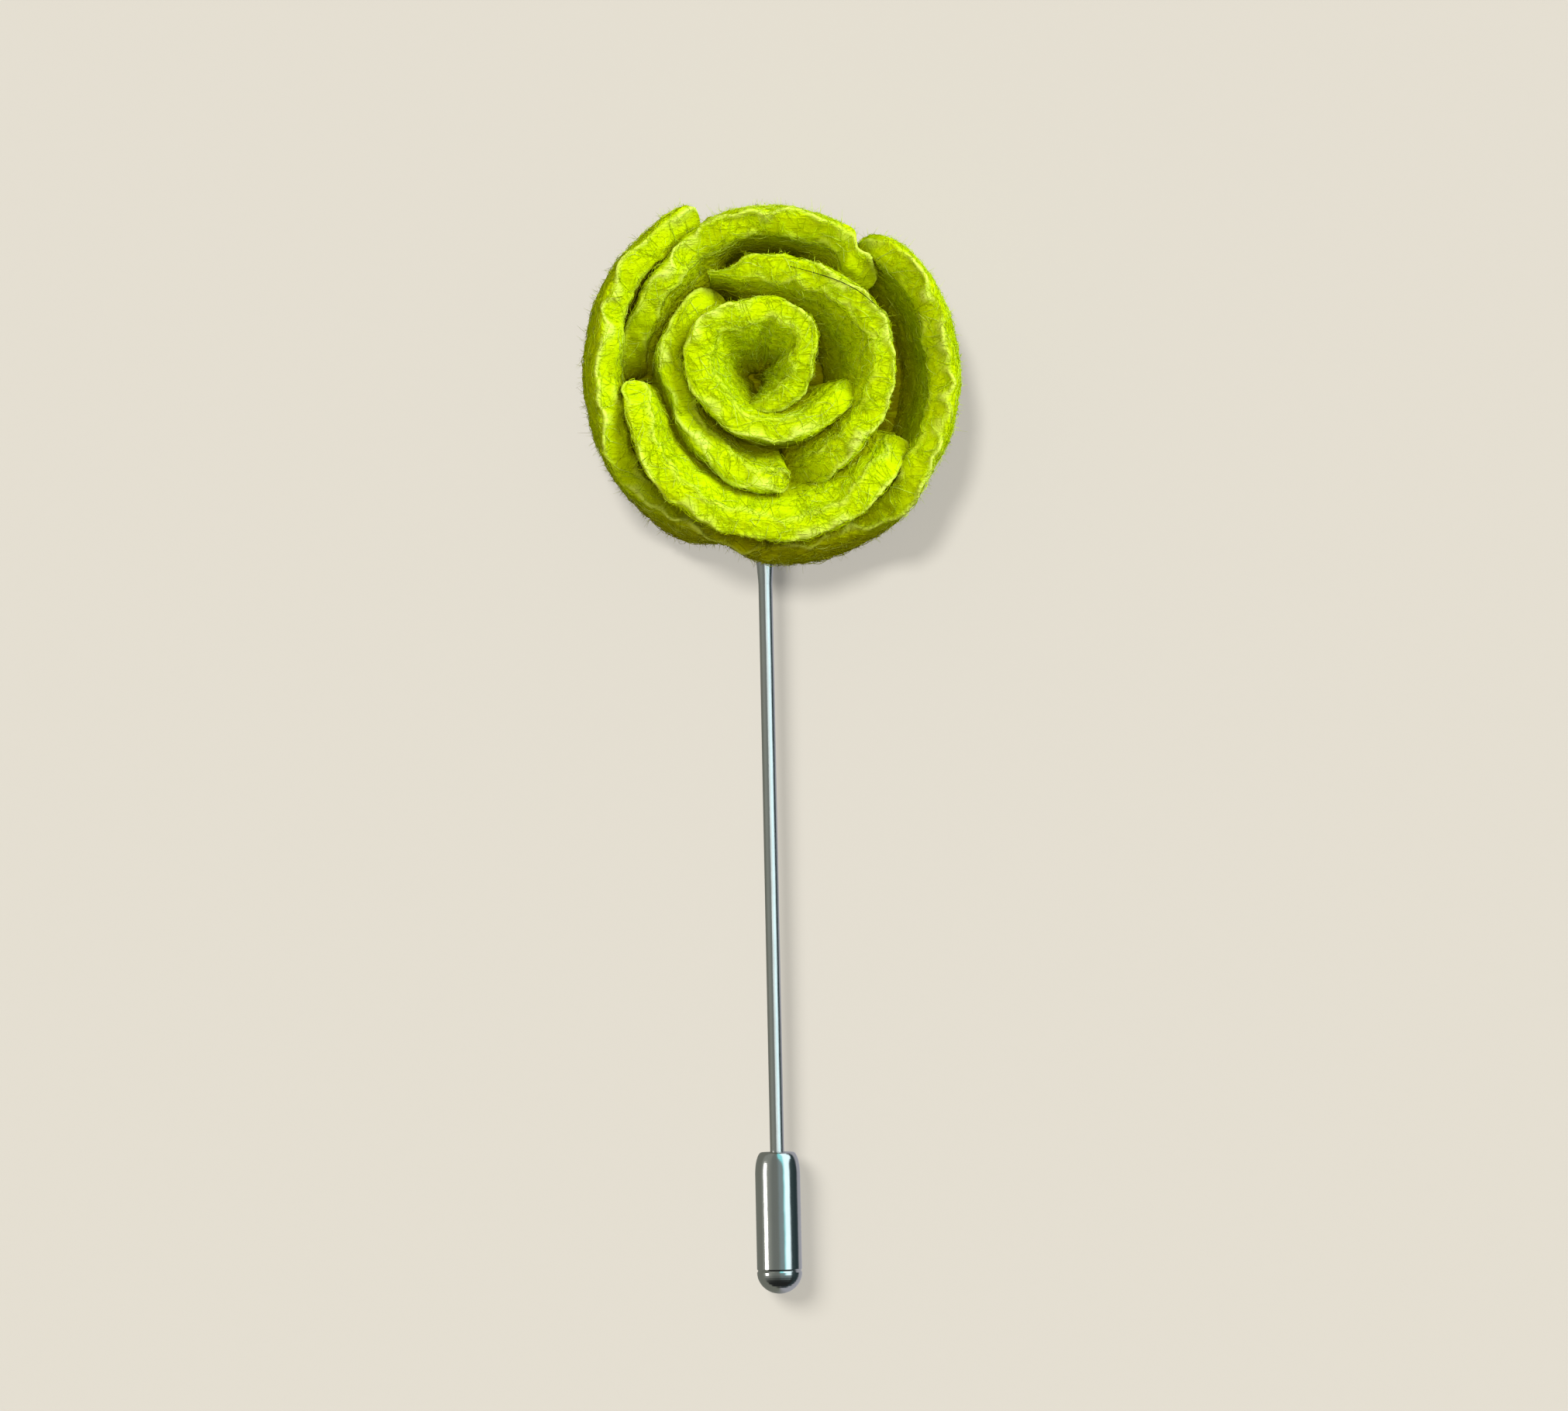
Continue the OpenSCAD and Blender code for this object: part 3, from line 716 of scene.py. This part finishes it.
def felt_material():
    """Boiled wool: lime where it stands free, with painted shade that turns it olive in the folds and hollows
    and a painted highlight that turns it pale on the crests, finely matted.
    """
    material, surface = shader("felt")
    n = Nodes(material.node_tree)
    place = n.add("ShaderNodeTexCoord").outputs["Object"]
    hollow = n.add("ShaderNodeAttribute", attribute_name="hollow").outputs["Fac"]
    crest = n.add("ShaderNodeAttribute", attribute_name="crest").outputs["Fac"]
    valley_shade = n.add("ShaderNodeAttribute", attribute_name="valley_shade").outputs["Fac"]
    cloud = n.add("ShaderNodeTexNoise", {"Vector": place, "Scale": CLOUDS, "Detail": 5.0, "Roughness": 0.65})
    shift = n.math("MULTIPLY", n.math("SUBTRACT", cloud.outputs["Fac"], 0.5), 0.9)
    # Painted shade: lime turns leaf green where the hollow and valley values are high, with random cloudy
    # tone added
    shade = n.math("ADD", n.math("ADD", hollow, shift), n.math("MULTIPLY", valley_shade, 0.4))
    light = n.mix(n.ramp(shade, 0.15, 0.75), LIME, LEAF_SHADE_AND_TONE)
    # Painted shade: the skirts near the table turn olive too, and so do the low rims on the pin's side
    at = n.add("ShaderNodeSeparateXYZ", {0: place}).outputs
    low = n.math("MULTIPLY", n.ramp(at["Z"], *LOW_PAINTED_SHADE), 0.9)
    shade_by_pin = n.math("MULTIPLY", n.ramp(at["Y"], *PIN_SIDE_SHADE), n.ramp(at["Z"], *PIN_SIDE_SHADE_LOW))
    low = n.math("MAXIMUM", low, n.math("MULTIPLY", shade_by_pin, 0.7))
    # Painted shade: olive in the deepest hollows, near the table and on the low rims by the pin
    colour = n.mix(n.math("MAXIMUM", n.ramp(hollow, 0.55, 1.05), low), light, SHADE_OLIVE)
    strands = strand_pattern(n, place)
    colour = n.mix(n.math("MULTIPLY", strands, 0.45), colour, BRIGHT)
    # Painted highlight: pale along the crests of the rims; on the fibres the same value marks a few pale ones
    # at random
    colour = n.mix(n.math("MULTIPLY", crest, 0.9, True), colour, PALE_HIGHLIGHT_AND_FIBRE)
    n.tree.links.new(colour, surface.inputs["Base Color"])
    fine = n.add("ShaderNodeTexNoise", {"Vector": place, "Scale": FINEST, "Detail": 4.0, "Roughness": 0.75})
    relief = n.math("ADD", n.math("MULTIPLY", strands, 0.6), fine.outputs["Fac"])
    bump = n.add("ShaderNodeBump", {"Height": relief, "Strength": 1.0, "Distance": FELT_BUMP})
    n.tree.links.new(bump.outputs["Normal"], surface.inputs["Normal"])
    surface.inputs["Roughness"].default_value = 1.0
    surface.inputs["Specular IOR Level"].default_value = 0.0
    return material


def strand_pattern(n, place):
    """Soft streaks at several slants, as matted wool shows them, from 0 to 1."""
    layers = []
    for turn in STRAND_TURNS:
        settings = {"Vector": place, "Rotation": (turn, turn * 2, turn * 3), "Scale": (1, 7, 7)}
        along = n.add("ShaderNodeMapping", settings).outputs[0]
        fine = {"Vector": along, "Scale": STRANDS, "Detail": 3.0, "Distortion": 0.6}
        streak = n.add("ShaderNodeTexNoise", fine)
        layers.append(n.ramp(streak.outputs["Fac"], 0.55, 0.75))
    both = n.math("MAXIMUM", layers[0], layers[1])
    return n.math("MAXIMUM", both, layers[2])


def metal_material(name, colour, rough):
    """Bright plated steel with a faint unevenness in its gloss."""
    material, surface = shader(name)
    n = Nodes(material.node_tree)
    place = n.add("ShaderNodeTexCoord").outputs["Object"]
    smear = n.add("ShaderNodeTexNoise", {"Vector": place, "Scale": SMEARS, "Detail": 3.0}).outputs["Fac"]
    rougher = n.add("ShaderNodeMapRange", {"Value": smear, "To Min": rough, "To Max": rough * 2})
    n.tree.links.new(rougher.outputs["Result"], surface.inputs["Roughness"])
    tint = n.mix(smear, colour, tuple(0.9 * c for c in colour[:3]) + (1,))
    n.tree.links.new(tint, surface.inputs["Base Color"])
    wave = n.add("ShaderNodeTexNoise", {"Vector": place, "Scale": WAVES, "Detail": 2.0})
    bump = n.add("ShaderNodeBump", {"Height": wave.outputs["Fac"], "Strength": 0.3, "Distance": METAL_BUMP})
    n.tree.links.new(bump.outputs["Normal"], surface.inputs["Normal"])
    surface.inputs["Metallic"].default_value = 1.0
    return material


def add_felt(material):
    """Builds the petals and the roll with their fibres."""
    walls = felt_walls()
    tree = felt_tree(walls)
    for seed, (name, wall) in enumerate(walls.items()):
        wall.hollow = hollow_values(wall.points, wall.normals, tree)
        piece = add_mesh(name + "_felt", wall.points, grid_faces(*wall.points.shape[:2]))
        set_values(piece, "hollow", wall.hollow)
        set_values(piece, "valley_shade", wall.valley_shade)
        # The painted highlight on the crests fades where the painted shade of the hollows is deep
        set_values(piece, "crest", wall.crest * np.clip(1.5 - 1.8 * wall.hollow, 0, 1))
        piece.data.materials.append(material)
        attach(piece, BODY)
        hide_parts(name)
        rng = np.random.default_rng(100 + seed)
        add_fibres(name + "_fibres", *lying_fibres(wall, rng), LYING_R, material, rng)
        add_fibres(name + "_fuzz", *fuzz_fibres(wall, rng), FUZZ_R, material, rng)
    return tree


def add_pad(material, tree):
    """The round felt pad, with a soft edge and a flat back."""
    turn = np.radians(np.linspace(0, 90, 6))
    low = [(BASE_R - BASE_FILLET * (1 - math.sin(a)), BASE_FILLET * (1 - math.cos(a))) for a in turn]
    high = [(r, BASE_T - z) for r, z in reversed(low)]
    inner = np.linspace(0.3 * MM, BASE_R - BASE_FILLET, PAD_ACROSS)[:-1]
    profile = np.array([(r, 0.0) for r in inner] + low + high + [(r, BASE_T) for r in inner[::-1]])
    angles = np.radians(np.arange(PAD_ROUND) * 360 / PAD_ROUND)
    points = np.empty((PAD_ROUND, len(profile), 3))
    points[..., 0] = np.cos(angles)[:, None] * profile[None, :, 0]
    points[..., 1] = np.sin(angles)[:, None] * profile[None, :, 0]
    points[..., 2] = profile[None, :, 1]
    large, small = (noise_at(points, size, 60 + k) for k, size in enumerate(PAD_BUMPS))
    relief = PAD_BUMP_HIGH * (large + 0.6 * small)
    outward = np.stack([np.cos(angles), np.sin(angles)], 1)[:, None, :]
    edge = ((profile[:, 0] / BASE_R)**8)[None, :, None]
    points[..., :2] += (relief[..., None] + PAD_BUMP_ROOM) * edge * outward
    on_top = profile[None, :, 1] > BASE_T / 2
    points[..., 2] = np.where(on_top, points[..., 2] + relief - PAD_BUMP_ROOM, points[..., 2])
    loop = len(profile)
    faces = []
    for i in range(PAD_ROUND):
        a, b = i * loop, (i + 1) % PAD_ROUND * loop
        faces += [(a + k, b + k, b + k + 1, a + k + 1) for k in range(loop - 1)]
    faces.append(tuple(i * loop for i in reversed(range(PAD_ROUND))))
    faces.append(tuple(i * loop + loop - 1 for i in range(PAD_ROUND)))
    piece = add_mesh("felt_base_felt", points, faces)
    up = np.zeros_like(points)
    up[..., 2] = 1
    # Painted shade for the pad: over its top from the felt around it, a fixed middling amount on its sides
    # and back
    hollow = np.where(on_top, hollow_values(points, up, tree), 0.4)
    set_values(piece, "hollow", hollow)
    piece.data.materials.append(material)
    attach(piece, BODY)
    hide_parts("felt_base")


# The one loose hair in the photograph: its radius, its colour, the places it passes over in mm, how far it
# may dip below its highest point, the points along it, and a height above all the felt
HAIR_R = 0.05 * MM
HAIR_COLOUR = (0.03, 0.04, 0.01, 1)
HAIR_OVER = [(2.5, 10.5), (4.2, 10.0), (6.7, 9.2), (8.7, 8.2), (10.4, 6.7), (11.4, 5.5)]
HAIR_DROP = 1.2 * MM
HAIR_POINTS = 16
ABOVE_ALL = 50 * MM


def add_hair(tree):
    """A dark hair that lies on whatever felt is under it, and never dips far below its highest point."""
    line = np.array(HAIR_OVER) * MM
    t = np.linspace(0, len(line) - 1, HAIR_POINTS)
    flat = np.stack([np.interp(t, range(len(line)), line[:, k]) for k in (0, 1)], 1)
    flat = np.concatenate([flat[:1], (flat[:-2] + 2 * flat[1:-1] + flat[2:]) / 4, flat[-1:]])
    heights = []
    for x, y in flat.tolist():
        hit = tree.ray_cast(Vector((x, y, ABOVE_ALL)), Vector((0, 0, -1)))[0]
        heights.append(hit.z if hit else BASE_T)
    top = np.maximum.reduce([np.roll(heights, k) for k in (-1, 0, 1)])
    top[0], top[-1] = heights[0], heights[-1]
    even = np.convolve(np.pad(top, 1, "edge"), (0.25, 0.5, 0.25), "valid")
    top = np.maximum(even, top.max() - HAIR_DROP)
    path = np.column_stack([flat, top + 1.5 * HAIR_R])
    material, surface = shader("dark_hair")
    n = Nodes(material.node_tree)
    place = n.add("ShaderNodeTexCoord").outputs["Object"]
    speck = n.add("ShaderNodeTexNoise", {"Vector": place, "Scale": 1500.0})
    darker = tuple(0.8 * c for c in HAIR_COLOUR[:3]) + (1,)
    n.tree.links.new(n.mix(speck.outputs["Fac"], darker, HAIR_COLOUR), surface.inputs["Base Color"])
    surface.inputs["Roughness"].default_value = 1.0
    surface.inputs["Specular IOR Level"].default_value = 0.1
    add_fibres("dark_hair", path[None], np.zeros(1), HAIR_R, material, np.random.default_rng(7))


# The plating: its colour, how rough it is on the pin and on the clutch, and its faint waves
NICKEL = (0.72, 0.72, 0.70, 1)
PIN_ROUGH = 0.16
CLUTCH_ROUGH = 0.1
SMEARS = 260.0
WAVES = 480.0
METAL_BUMP = 0.1 * MM


def add_metals():
    """Gives the pin and the clutch, which are the construction's own solids, their plated finish."""
    finishes = (("stick_pin", "pin_metal", PIN_ROUGH), ("clutch", "clutch_metal", CLUTCH_ROUGH))
    for node, slot, rough in finishes:
        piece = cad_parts[node]
        piece.data.materials.clear()
        piece.data.materials.append(metal_material(slot, NICKEL, rough))


def add_camera():
    camera = bpy.data.objects.new("camera", bpy.data.cameras.new("camera"))
    bpy.context.scene.collection.objects.link(camera)
    camera.data.sensor_width = SENSOR
    camera.data.lens = SENSOR * CAMERA_HIGH / VIEW_WIDTH
    camera.location = (*VIEW_CENTRE, SHAFT_Z + CAMERA_HIGH)
    camera.rotation_euler = (0, 0, -VIEW_TURN)
    bpy.context.scene.camera = camera


# The table: its colour, how much of it the lights give, its half width, and its height just under the pin
FLOOR = (0.783, 0.738, 0.644)
FLOOR_SHARE = 0.3
FLOOR_HALF = 3.0
FLOOR_Z = -0.05 * MM
# The painted glow that the metal mirrors from the table, on the left, in the middle and on the right, and
# where these meet
MIRRORED_LEFT = (0.2, 0.21, 0.18, 1)
MIRRORED_MIDDLE = (0.42, 0.43, 0.48, 1)
MIRRORED_RIGHT = (0.03, 0.05, 0.055, 1)
LEFT_TO_MIDDLE = (-1 * MM, 2 * MM)
MIDDLE_TO_RIGHT = (6 * MM, 9 * MM)
# Two suns, each its strength and where it stands, and the soft light from all round and from the left
SUN = (3.6, (-0.15, 0.36, 1.0))
LOW_SUN = (4.4, (-0.62, 0.58, 1.0))
AMBIENT = (0.24, 0.2, 0.145)
LEFT_GLOW = (0.5, 0.42, 0.24, 1)
LEFT_ON_FLOOR = 0.06
# What the two strips of light are aimed at along the pin
CLUTCH_Y = -72.5 * MM
SHAFT_Y = -30 * MM


def add_floor():
    """A pale table. It glows by as much as the lights leave it short of its colour, so that it stays even."""
    corners = [(x * FLOOR_HALF, y * FLOOR_HALF, FLOOR_Z) for x, y in ((-1, -1), (1, -1), (1, 1), (-1, 1))]
    floor = add_mesh("floor", corners, [(0, 1, 2, 3)])
    material, surface = shader("floor")
    n = Nodes(material.node_tree)
    place = n.add("ShaderNodeTexCoord").outputs["Object"]
    grain = n.add("ShaderNodeTexNoise", {"Vector": place, "Scale": 900.0, "Detail": 2.0})
    plain = tuple(FLOOR_SHARE * c for c in FLOOR) + (1,)
    tone = n.mix(grain.outputs["Fac"], plain, tuple(0.99 * c for c in plain[:3]) + (1,))
    path = n.add("ShaderNodeLightPath")
    unlit = tuple(0.2 * c for c in plain[:3]) + (1,)
    dull = n.mix(path.outputs["Is Glossy Ray"], unlit, (0, 0, 0, 1))
    n.tree.links.new(n.mix(path.outputs["Is Camera Ray"], dull, tone), surface.inputs["Base Color"])
    surface.inputs["Roughness"].default_value = 1.0
    surface.inputs["Specular IOR Level"].default_value = 0.0
    level = sum(power * Vector(way).normalized().z / math.pi for power, way in (SUN, LOW_SUN))
    around = [a + LEFT_ON_FLOOR * b for a, b in zip(AMBIENT, LEFT_GLOW)]
    glow = [c * (1 - FLOOR_SHARE * (a + level)) for c, a in zip(FLOOR, around)]
    # The felt and the metal see a darker table than the camera does, as where the lamps are kept off it: the
    # felt sees it unlit, and the metal mirrors a painted glow from it, darker on the left and darkest on the
    # right
    across = n.add("ShaderNodeSeparateXYZ", {0: place}).outputs["X"]
    mirrored = n.mix(n.ramp(across, *LEFT_TO_MIDDLE), MIRRORED_LEFT, MIRRORED_MIDDLE)
    mirrored = n.mix(n.ramp(across, *MIDDLE_TO_RIGHT), mirrored, MIRRORED_RIGHT)
    unseen = n.mix(path.outputs["Is Glossy Ray"], (0, 0, 0, 1), mirrored)
    seen = n.mix(path.outputs["Is Camera Ray"], unseen, (*glow, 1))
    n.tree.links.new(seen, surface.inputs["Emission Color"])
    surface.inputs["Emission Strength"].default_value = 1.0
    floor.data.materials.append(material)
    return floor


def add_light(name, kind, power, colour, place, aim=(0, 0, 0), size=(0.1, 0.1), angle=0.1):
    data = bpy.data.lights.new(name, kind)
    data.energy = power
    data.color = colour
    if kind == "AREA":
        data.shape = "RECTANGLE"
        data.size, data.size_y = size
    else:
        data.angle = angle
    light = bpy.data.objects.new(name, data)
    light.location = place
    light.rotation_euler = (Vector(aim) - Vector(place)).to_track_quat("-Z", "Y").to_euler()
    light.visible_camera = False
    bpy.context.scene.collection.objects.link(light)
    return light


def add_lights(floor):
    """A soft box at the upper right and a fill from above light the felt, and a strip each lights the clutch
    and the shaft. Two suns light only the floor: one casts the flower's shadow, the lower the metal's."""
    metals = [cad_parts["stick_pin"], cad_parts["clutch"]]
    lamp = add_light("lamp", "SUN", SUN[0], (1, 1, 1), SUN[1], angle=math.radians(9))
    low = add_light("low_lamp", "SUN", LOW_SUN[0], (1, 1, 1), LOW_SUN[1], angle=math.radians(27))
    fill = add_light("fill", "SUN", 1.13, (1.0, 0.94, 0.68), (0.03, 0.04, 1), angle=math.radians(22))
    right = add_light("right_box", "AREA", 4.0, (0.9, 1.0, 0.95), (0.40, 0.30, 0.40), size=(0.3, 0.3))
    strip_at, over_at = (-0.37, CLUTCH_Y, 0.15), (0.1, SHAFT_Y, 0.4)
    strip = add_light("left_strip", "AREA", 0.3, (1.0, 0.98, 0.95), strip_at, (0, CLUTCH_Y, 0), (0.22, 0.12))
    over = add_light("shaft_strip", "AREA", 0.2, (0.88, 0.98, 1.0), over_at, (0, SHAFT_Y, 0), (0.22, 0.3))
    limit_light(lamp, "receiver_collection", [floor], "INCLUDE")
    limit_light(lamp, "blocker_collection", metals, "EXCLUDE")
    limit_light(low, "receiver_collection", [floor], "INCLUDE")
    limit_light(low, "blocker_collection", metals, "INCLUDE")
    limit_light(fill, "receiver_collection", [floor, *metals], "EXCLUDE")
    limit_light(right, "receiver_collection", [floor, *metals], "EXCLUDE")
    limit_light(strip, "receiver_collection", [metals[1]], "INCLUDE")
    limit_light(over, "receiver_collection", [metals[0]], "INCLUDE")


def limit_light(light, what, pieces, state):
    """Keeps a light, or its shadows, to these pieces or off them."""
    group = bpy.data.collections.new(light.name + "_" + what)
    for piece in pieces:
        group.objects.link(piece)
    for entry in group.collection_objects:
        entry.light_linking.link_state = state
    setattr(light.light_linking, what, group)


# What the metal mirrors of the room, from its left to its right and towards the clutch's end, and the window
ROOM_LEFT = (0.28, 0.3, 0.27, 1)
ROOM_OVER = (0.19, 0.21, 0.195, 1)
ROOM_BY_WINDOW = (0.26, 0.33, 0.34, 1)
ROOM_RIGHT = (0.04, 0.065, 0.07, 1)
ROOM_END = (0.02, 0.022, 0.022, 1)
WINDOW_FRINGE = (0.35, 1.05, 1.1, 1)
WINDOW = (1.2, 1.5, 1.6, 1)


def mirrored_room(n, way):
    """The colour that the metal mirrors from each way: a dim room with a bright tall window on the right."""
    # Degrees to the right of straight up, seen along the pin
    turn = n.math("MULTIPLY", n.math("ARCTAN2", way["X"], way["Z"]), 180 / math.pi)
    room = n.mix(n.ramp(turn, -50, -25), ROOM_LEFT, ROOM_OVER)
    room = n.mix(n.ramp(turn, -5, 12), room, ROOM_BY_WINDOW)
    room = n.mix(n.ramp(turn, 62, 70), room, ROOM_RIGHT)
    room = n.mix(n.ramp(way["Y"], -0.8, -0.12), ROOM_END, room)
    # Towards the flower the window is wider, so that it fills the clutch's shoulder
    wider = n.math("MULTIPLY", n.ramp(way["Y"], 0.25, 0.7), 26.0)
    left_edge = n.ramp(n.math("ADD", turn, wider), 26, 33)
    right_edge = n.ramp(n.math("SUBTRACT", turn, n.math("MULTIPLY", wider, 1.8)), 67, 60)
    window = n.math("MULTIPLY", left_edge, right_edge)
    window = n.math("MULTIPLY", window, n.ramp(way["Y"], -0.3, -0.15))
    fringe = n.mix(n.ramp(turn, 29, 41), WINDOW_FRINGE, WINDOW)
    return n.mix(window, room, fringe)


def soft_light(n, way):
    """The light on the felt: more from the flower's end than from the clutch's, and most from the left."""
    dark, light = (tuple(share * c for c in AMBIENT) + (1,) for share in (0.3, 1.7))
    evenly = n.add("ShaderNodeMapRange", {"Value": way["Y"], "From Min": -1.0, "From Max": 1.0})
    from_left = n.ramp(n.math("MULTIPLY", way["X"], -1.0), 0.3, 0.9)
    return n.mix(from_left, n.mix(evenly.outputs["Result"], dark, light), LEFT_GLOW)


def add_world():
    """The studio round the pin: what the metal mirrors, the felt's soft light, and the pale table far off."""
    world = bpy.data.worlds.new("studio")
    bpy.context.scene.world = world
    world.use_nodes = True
    world.node_tree.nodes.clear()
    n = Nodes(world.node_tree)
    path = n.add("ShaderNodeLightPath").outputs
    way = n.add("ShaderNodeSeparateXYZ", {0: n.add("ShaderNodeTexCoord").outputs["Generated"]}).outputs
    mirrored, soft, seen = (
        n.add("ShaderNodeBackground", {"Color": colour, "Strength": 1.0}).outputs[0]
        for colour in (mirrored_room(n, way), soft_light(n, way), (*FLOOR, 1)))
    inner = n.add("ShaderNodeMixShader", {0: path["Is Glossy Ray"], 1: soft, 2: mirrored}).outputs[0]
    both = n.add("ShaderNodeMixShader", {0: path["Is Camera Ray"], 1: inner, 2: seen}).outputs[0]
    n.add("ShaderNodeOutputWorld", {"Surface": both})


bpy.context.scene.view_settings.view_transform = "Standard"
add_camera()
felt = felt_material()
tree = add_felt(felt)
add_pad(felt, tree)
add_hair(tree)
add_metals()
add_lights(add_floor())
add_world()
